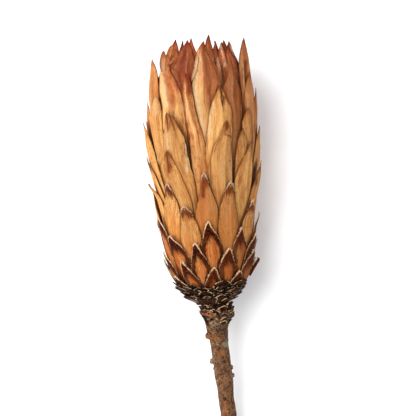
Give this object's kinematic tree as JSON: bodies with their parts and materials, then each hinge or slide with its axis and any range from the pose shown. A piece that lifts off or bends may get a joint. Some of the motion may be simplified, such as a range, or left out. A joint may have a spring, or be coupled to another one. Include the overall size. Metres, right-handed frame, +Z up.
{
  "type": "dried protea flower",
  "caption": "Dried closed protea flower head of overlapping woody bracts on its cut stem, lying on its side",
  "frame": {"origin": "under the middle of the bounding box, at the level of the surface the flower lies on", "axes": "+Z up from the surface; +Y along the flower from the cut end of the stem to the tips of the bracts; +X to the right when seen from above with the tips pointing away"},
  "size_m": [0.0448, 0.1794, 0.043],
  "materials": {
    "stem_bark": "matt bark, brown grey with orange leaf scars",
    "receptacle": "matt, hidden woody core",
    "florets": "matt, straw coloured packed florets with silky hairs",
    "base_scales": "matt, dark brown scales with pale frayed rims",
    "bract_base": "matt, orange brown with dark edges and a pale hairy fringe",
    "bract_mid": "matt, tan with brown hairy tips",
    "bract_long": "matt, straw tan, finely ribbed along its length",
    "bract_tall": "matt, tan turning pinkish brown to the tip",
    "bract_crown": "matt, red brown"
  },
  "bodies": {
    "root": {"basal_scales_lower": "base_scales", "basal_scales_upper": "base_scales", "bract_long_front_1": "bract_long", "bract_long_front_2": "bract_long", "bract_long_front_3": "bract_long", "bract_long_left_1": "bract_long", "bract_long_left_2": "bract_long", "bract_long_left_3": "bract_long", "bract_long_right_1": "bract_long", "bract_long_right_2": "bract_long", "bract_long_right_3": "bract_long", "bract_long_right_4": "bract_long", "bract_long_under_1": "bract_long", "bract_long_under_2": "bract_long", "bract_long_under_3": "bract_long", "bract_long_under_4": "bract_long", "bract_long_under_5": "bract_long", "bract_mid_front_1": "bract_mid", "bract_mid_front_2": "bract_mid", "bract_mid_front_3": "bract_mid", "bract_mid_front_4": "bract_mid", "bract_mid_front_5": "bract_mid", "bract_mid_front_6": "bract_mid", "bract_mid_left_1": "bract_mid", "bract_mid_left_2": "bract_mid", "bract_mid_left_3": "bract_mid", "bract_mid_left_4": "bract_mid", "bract_mid_left_5": "bract_mid", "bract_mid_right_1": "bract_mid", "bract_mid_right_2": "bract_mid", "bract_mid_right_3": "bract_mid", "bract_mid_right_4": "bract_mid", "bract_mid_right_5": "bract_mid", "bract_mid_under_1": "bract_mid", "bract_mid_under_2": "bract_mid", "bract_mid_under_3": "bract_mid", "bract_mid_under_4": "bract_mid", "bract_tall_front_1": "bract_tall", "bract_tall_front_2": "bract_tall", "bract_tall_front_3": "bract_tall", "bract_tall_left_1": "bract_tall", "bract_tall_left_2": "bract_tall", "bract_tall_left_3": "bract_tall", "bract_tall_left_4": "bract_tall", "bract_tall_right_1": "bract_tall", "bract_tall_right_2": "bract_tall", "bract_tall_right_3": "bract_tall", "bract_tall_right_4": "bract_tall", "bract_tall_under_1": "bract_tall", "bract_tall_under_2": "bract_tall", "bract_whorl_base": "bract_base", "bract_whorl_second": "bract_base", "bract_whorl_third": "bract_base", "crown_whorl_inner": "bract_crown", "crown_whorl_outer": "bract_crown", "floret_head": "florets", "receptacle": "receptacle", "stem": "stem_bark"}
  },
  "joints": []
}
